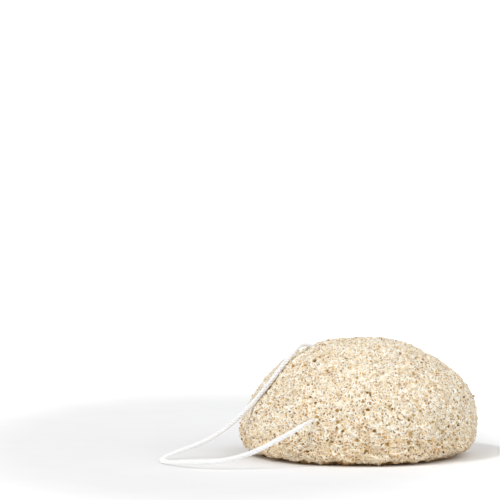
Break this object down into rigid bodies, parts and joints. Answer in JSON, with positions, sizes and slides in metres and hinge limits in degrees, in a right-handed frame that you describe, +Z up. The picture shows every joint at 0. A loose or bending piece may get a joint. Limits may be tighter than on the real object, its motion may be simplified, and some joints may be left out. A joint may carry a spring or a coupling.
{
  "type": "konjac sponge",
  "caption": "Half-ball konjac foam facial sponge with bound shell grains and a knotted cotton hanging loop that swings from its threaded exits.",
  "frame": {"origin": "on the supporting surface, under the middle of the sponge body's box", "axes": "+X along the sponge's longest side, away from the loop; +Y from the side with the low cord exit to the back; +Z up, through the crown"},
  "size_m": [0.101, 0.075, 0.037],
  "materials": {
    "konjac_foam": "matte",
    "walnut_shell": "matte",
    "cotton_cord": "matte"
  },
  "bodies": {
    "sponge": {"sponge_body": "konjac_foam"},
    "hanging_loop": {"cord_loop": "cotton_cord", "cord_run_top": "cotton_cord", "cord_run_front": "cotton_cord", "cord_knot": "cotton_cord"}
  },
  "joints": [
    {"name": "loop_swing", "type": "hinge", "parent": "sponge", "child": "hanging_loop", "pos_m": [-0.014, -0.03101, 0.01499], "axis": [0, 0.8098, 0.5866], "range_deg": [0, 120]}
  ]
}
